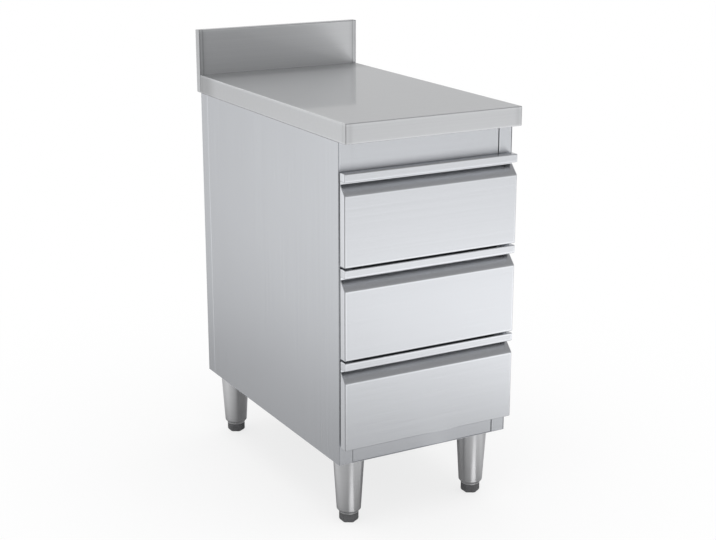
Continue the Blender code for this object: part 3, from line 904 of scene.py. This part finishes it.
# Worktop: a folded stainless lid with aprons all round and returns below, over a chipboard core.
# Bent from 1.5 mm sheet; the corners are welded, ground flush and brushed over, which leaves a mark.
# It is polished once more over the grain. Along the upstand its colour is darkened, a painted shade in the
# crease.
WORKTOP_COLOUR = (0.71, 0.72, 0.735)
WORKTOP_ROUGHNESS = 0.40
POLISH = 0.6
POLISH_ROUGHNESS = 0.06
CREASE_SHADE_STRIP = 0.030
CREASE_SHADE_FADE = 0.095
CREASE_SHADE_LEVEL = 0.74
WORKTOP_SHEET = 0.0015
APRON_RETURN = 0.020
TOP_BEND = 0.0022
TOP_BEND_STEPS = 5
TOP_FADE = 0.004
APRON_BEND = 0.0016
CORNER_RADIUS = 0.0016
LEAST_CORNER = 0.0006
# Distance from each rounded corner, and how much of the weld shows there.
WELD_MARKS = ((0.0025, 0.0), (0.0085, 0.5), (0.016, 0.0))


def lid_mesh(low, high):
    """Lid from the middle of its top, over the edge, round the return and up to its inside."""
    return_top = low.z + WORKTOP_SHEET
    rows = [(TOP_BEND + TOP_FADE, high.z, 0.0)]
    rows += rubbed_arc(TOP_BEND, high.z - TOP_BEND, TOP_BEND, 90, 180, TOP_BEND_STEPS)
    rows += [(0.0, high.z - TOP_BEND - TOP_FADE, 0.0), (0.0, low.z + APRON_BEND + RUB_FADE, 0.0)]
    rows += rubbed_arc(APRON_BEND, low.z + APRON_BEND, APRON_BEND, 180, 270)
    rows += [(APRON_RETURN, low.z, 0.0), (APRON_RETURN, return_top, 0.0)]
    rows += [(WORKTOP_SHEET, return_top, 0.0), (WORKTOP_SHEET, high.z - WORKTOP_SHEET, 0.0)]
    return lofted_box(low, high, rows, CORNER_RADIUS, LEAST_CORNER, WELD_MARKS, TOP_BEND / 2)


def polished_steel(name):
    """Brushed steel that was polished once more over the grain, so that it mirrors under its sheen."""
    material = brushed_steel(name, WORKTOP_COLOUR, ALONG_X, WORKTOP_ROUGHNESS)
    inputs = material.node_tree.nodes["Principled BSDF"].inputs
    inputs["Coat Weight"].default_value = POLISH
    inputs["Coat Roughness"].default_value = POLISH_ROUGHNESS
    return material


def smooth_step(tree, value, start, end, low, high):
    """Smooth change from one level to another between two values."""
    return add_node(tree, "MapRange", value, start, end, low, high, interpolation_type="SMOOTHSTEP")


def paint_crease_shade(material, corner):
    """Darken a finish towards a corner in depth, a painted shade along the crease."""
    tree = material.node_tree
    colour = tree.nodes["Principled BSDF"].inputs["Base Color"]
    depth = add_node(tree, "SeparateXYZ", add_node(tree, "TexCoord", output="Object"), output="Y")
    level = smooth_step(tree, depth, corner - CREASE_SHADE_FADE, corner - CREASE_SHADE_STRIP, 1.0, CREASE_SHADE_LEVEL)
    tree.links.new(tinted(tree, colour.links[0].from_socket, level), colour)


def chipboard(name, colour):
    """Raw chipboard: pale and dark flakes pressed flat."""
    material, tree, inputs = new_finish(name, 0.0)
    flakes = noise_layer(tree, "flakes", (220.0, 220.0, 500.0), 4.0)
    patches = noise_layer(tree, "patches", (30.0, 30.0, 60.0), 2.0)
    strength = weighted(tree, 1.0, (flakes, 0.9, 0.5), (patches, 0.3, 0.5))
    tree.links.new(tinted(tree, colour, strength), inputs["Base Color"])
    tree.links.new(weighted(tree, 0.8, (flakes, 0.2, 0.5)), inputs["Roughness"])
    tree.links.new(raised(tree, flakes, 0.0004, 0.6), inputs["Normal"])
    return material


core_board = chipboard("core chipboard", colour=(0.42, 0.32, 0.20))
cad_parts["worktop_core"].material_slots[0].material = core_board
worktop_steel = polished_steel("worktop steel, brushed across")
# Painted shade: the worktop's colour darkens towards the upstand.
paint_crease_shade(worktop_steel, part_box("rear_upstand")[0].y)
stand_in("worktop_lid", lid_mesh(*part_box("worktop")), worktop_steel, "worktop_steel", "cabinet", "worktop")


# Rear upstand: a folded strip that keeps spills off the wall behind, polished like the worktop.
# Bent from the same 1.5 mm sheet, with an open joint along the worktop. At each end a plate is
# welded on, down to the bottom of the apron, and the ground weld shows as lines beside it.
UPSTAND_RADIUS = 0.0018
UPSTAND_JOINT = 0.0015
PLATE_CORNER = 0.0022
UPSTAND_MARKS = (
    (0.0, 0.9), (0.0015, 0.9), (0.003, 0.1), (0.005, 0.1),
    (0.0062, 1.4), (0.0082, 1.4), (0.010, 0.3), (0.018, 0.0),
)
low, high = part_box("rear_upstand")
half_sheet = WORKTOP_SHEET / 2
upstand_line = [
    (low.y + half_sheet, low.z + UPSTAND_JOINT),
    (low.y + half_sheet, high.z - half_sheet),
    (high.y - half_sheet, high.z - half_sheet),
    (high.y - half_sheet, low.z),
]
upstand = folded(upstand_line, WORKTOP_SHEET, UPSTAND_RADIUS, 0, low.x, high.x, marks=UPSTAND_MARKS)
upstand_steel = polished_steel("upstand steel, brushed across")
stand_in("upstand_strip", upstand, upstand_steel, "worktop_steel", "cabinet", "rear_upstand")
for side in ("left", "right"):
    node = "upstand_end_" + side
    low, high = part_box(node)
    corners = [(low.y, low.z), (high.y, low.z), (high.y, high.z), (low.y, high.z)]
    outline = [place for place, _, _ in bent_line(corners, PLATE_CORNER, True)]
    plate = finished(prism(outline, low.x, high.x))
    stand_in("upstand_plate_" + side, plate, upstand_steel, "worktop_steel", "cabinet", node)


# Studio: a white floor that runs into a white surround with a dim ceiling, under a large softbox.
# The floor keeps a faint shadow for the camera. In reflections the floor glows with painted light: painted
# shade close to and under the cabinet, brightest about two metres off. A softbox behind and two low strips
# draw a line down the legs.
FLOOR_REACH = 30.0
FLOOR_PAINT = (0.9, 0.9, 0.9, 1.0)
GLOW_CENTRE = (-0.15, 0.25, 0.0)
FRONT_REACH = 4.0
FRONT_GLOW = (
    (0.10, 0.47), (0.25, 0.43), (0.37, 0.70), (0.53, 1.00), (0.65, 0.58), (0.80, 0.50), (1.00, 0.525),
)
REAR_REACH = 2.0
REAR_GLOW = ((0.27, 0.54), (0.38, 0.64), (0.485, 0.725), (0.59, 0.775), (0.70, 0.80), (0.90, 0.84))
REAR_DRAWN_IN = (1.0, 0.45, 0.0)
REAR_SLANT = (-1.8, 1.0, 0.0)
FOOTPRINT = (0.24, 0.38)
FILL_LEVEL = 0.90
# Changes of light: from one measure to another, then the level at each of them.
FLOOR_SHADOW = (0.35, 1.5, 0.76, 1.0)
BRIGHTER_RIGHT = (-0.9, 1.4, 1.0, 1.83)
DIMMER_FAR_RIGHT = (0.68, 1.05, 1.0, 0.62)
DIMMER_ALONG_SLANT = (-1.5, 1.0, 1.34, 0.70)
FRONT_TO_REAR = (-0.3, 0.3, 0.0, 1.0)
PAINTED_SHADE_UNDERNEATH = (0.6, 1.5, 0.25, 1.0)
WALLS = (-0.45, 0.25, 0.43, 0.705)
CEILING = (0.45, 0.85, 1.0, 0.68)


def level_curve(tree, reach, stops):
    """Smooth curve of the floor's glow, through stops of reach and level, each from 0 to 1."""
    curve = tree.nodes.new("ShaderNodeValToRGB")
    curve.color_ramp.interpolation = "CARDINAL"
    for _ in stops[2:]:
        curve.color_ramp.elements.new(1.0)
    for stop, (position, level) in enumerate(stops):
        curve.color_ramp.elements[stop].position = position
        curve.color_ramp.elements[stop].color = (level, level, level, 1.0)
    tree.links.new(reach, curve.inputs["Fac"])
    return curve.outputs["Color"]


def mirrored_glow(tree, spot):
    """Glow of the floor in reflections, painted light: its own curve in front and behind, painted shade
    under the cabinet.
    """
    add = partial(add_node, tree)
    times = partial(add_node, tree, "Math", operation="MULTIPLY")
    step = partial(smooth_step, tree)
    across = add("SeparateXYZ", spot, output="X")
    along = add("SeparateXYZ", spot, output="Y")
    either_side = add("VectorMath", spot, operation="ABSOLUTE")
    far = add("VectorMath", spot, GLOW_CENTRE, operation="DISTANCE", output="Value")
    front = level_curve(tree, add("MapRange", far, 0.0, FRONT_REACH), FRONT_GLOW)
    brighter_right = step(across, *BRIGHTER_RIGHT)
    swing = add("Math", across, add("SeparateXYZ", either_side, output="Y"), operation="ARCTAN2")
    far_right = step(swing, *DIMMER_FAR_RIGHT)
    front = times(times(front, brighter_right), far_right)
    drawn_in = add("VectorMath", spot, REAR_DRAWN_IN, operation="MULTIPLY")
    aside = add("VectorMath", drawn_in, operation="LENGTH", output="Value")
    rear = level_curve(tree, add("MapRange", aside, 0.0, REAR_REACH), REAR_GLOW)
    slant = add("VectorMath", either_side, REAR_SLANT, operation="DOT_PRODUCT", output="Value")
    rear = times(rear, add("MapRange", slant, *DIMMER_ALONG_SLANT))
    glow = add("Mix", step(along, *FRONT_TO_REAR), None, front, rear)
    per_footprint = (1 / FOOTPRINT[0], 1 / FOOTPRINT[1], 0.0)
    scaled = add("VectorMath", either_side, per_footprint, operation="MULTIPLY")
    wide = add("SeparateXYZ", scaled, output="X")
    deep = add("SeparateXYZ", scaled, output="Y")
    outside = add("Math", wide, deep, operation="MAXIMUM")
    return times(glow, step(outside, *PAINTED_SHADE_UNDERNEATH))


def studio_floor():
    """Wide floor that reads white to the camera and darkens a little under the cabinet."""
    mesh = bpy.data.meshes.new("floor")
    sides = ((-1, -1), (1, -1), (1, 1), (-1, 1))
    corners = [(x * FLOOR_REACH, y * FLOOR_REACH, 0.0) for x, y in sides]
    mesh.from_pydata(corners, [], [(0, 1, 2, 3)])
    material = bpy.data.materials.new("white floor")
    material.use_nodes = True
    tree = material.node_tree
    tree.nodes.clear()
    add = partial(add_node, tree)
    spot = add("TexCoord", output="Object")
    distance = add("VectorMath", spot, operation="LENGTH", output="Value")
    fade = smooth_step(tree, distance, *FLOOR_SHADOW)
    seen = add("LightPath", output="Is Camera Ray")
    glossy = add("LightPath", output="Is Glossy Ray")
    below_white = add("Math", mirrored_glow(tree, spot), 1.0, operation="SUBTRACT")
    level = add("Math", glossy, below_white, 1.0, operation="MULTIPLY_ADD")
    shown = add("Math", seen, fade, glossy, operation="MULTIPLY_ADD")
    surface = add("MixShader", shown, add("BsdfDiffuse", FLOOR_PAINT), add("Emission", None, level))
    tree.links.new(surface, tree.nodes.new("ShaderNodeOutputMaterial").inputs["Surface"])
    mesh.materials.append(material)
    floor = bpy.data.objects.new("studio_floor", mesh)
    collection.objects.link(floor)


def studio_world():
    """White to the camera, a little greyer in reflections, and a soft fill for everything else."""
    world = bpy.data.worlds.new("white room")
    bpy.context.scene.world = world
    world.use_nodes = True
    tree = world.node_tree
    add = partial(add_node, tree)
    background = tree.nodes["Background"]
    background.inputs["Color"].default_value = (1.0, 1.0, 1.0, 1.0)
    heading = add("TexCoord", output="Generated")
    along = add("SeparateXYZ", heading, output="Y")
    up = add("SeparateXYZ", heading, output="Z")
    walls = smooth_step(tree, along, *WALLS)
    overhead = smooth_step(tree, up, *CEILING)
    room = add("Math", walls, overhead, operation="MULTIPLY")
    mirrored = add("Mix", add("LightPath", output="Is Glossy Ray"), None, FILL_LEVEL, room)
    seen = add("LightPath", output="Is Camera Ray")
    through = add("LightPath", output="Is Transmission Ray")
    direct = add("Math", seen, through, operation="MAXIMUM")
    shown = add("Math", direct, mirrored, operation="MAXIMUM")
    tree.links.new(shown, background.inputs["Strength"])


def soft_light(name, place, aim, size, power, mirrored):
    """Rectangular softbox turned towards a point, which either shows in steel or lights matt surfaces."""
    lamp = bpy.data.lights.new(name, "AREA")
    lamp.shape = "RECTANGLE"
    lamp.size, lamp.size_y = size
    lamp.energy = power
    light = bpy.data.objects.new(name, lamp)
    light.location = place
    light.rotation_euler = (Vector(aim) - Vector(place)).to_track_quat("-Z", "Y").to_euler()
    light.visible_camera = False
    light.visible_diffuse = not mirrored
    light.visible_glossy = mirrored
    collection.objects.link(light)


studio_floor()
studio_world()
soft_light("overhead_softbox", (0.0, -0.6, 3.6), (0.0, -0.6, 0.0), (3.2, 3.2), power=36, mirrored=False)
for side, x, power in (("left", -0.160, 0.020), ("right", 0.140, 0.022)):
    place, aim = (x, -0.40, 0.004), (x, -0.40, 1.0)
    soft_light("leg_strip_" + side, place, aim, (0.06, 0.14), power, mirrored=True)
soft_light("rear_left_softbox", (-1.7, 5.0, 3.6), (0.0, 0.0, 0.85), (3.0, 2.0), power=22, mirrored=True)


# Camera: the photograph's place, to the left of the front and a little above the worktop.
# A long lens about three metres off, tilted down. It has no shift, because the views all round
# keep that of this one.
CAMERA_PLACE = (-1.4938, -2.7271, 1.3553)
CAMERA_DOWN = math.radians(16.227)
CAMERA_TO_RIGHT = math.radians(29.055)
lens = bpy.data.cameras.new("camera")
lens.sensor_fit = "HORIZONTAL"
lens.sensor_width = 36.0
lens.lens = 74.20
lens.clip_end = 200.0
camera = bpy.data.objects.new("camera", lens)
camera.location = CAMERA_PLACE
camera.rotation_euler = (math.pi / 2 - CAMERA_DOWN, 0.0, -CAMERA_TO_RIGHT)
collection.objects.link(camera)
bpy.context.scene.camera = camera
bpy.context.scene.view_settings.view_transform = "Standard"
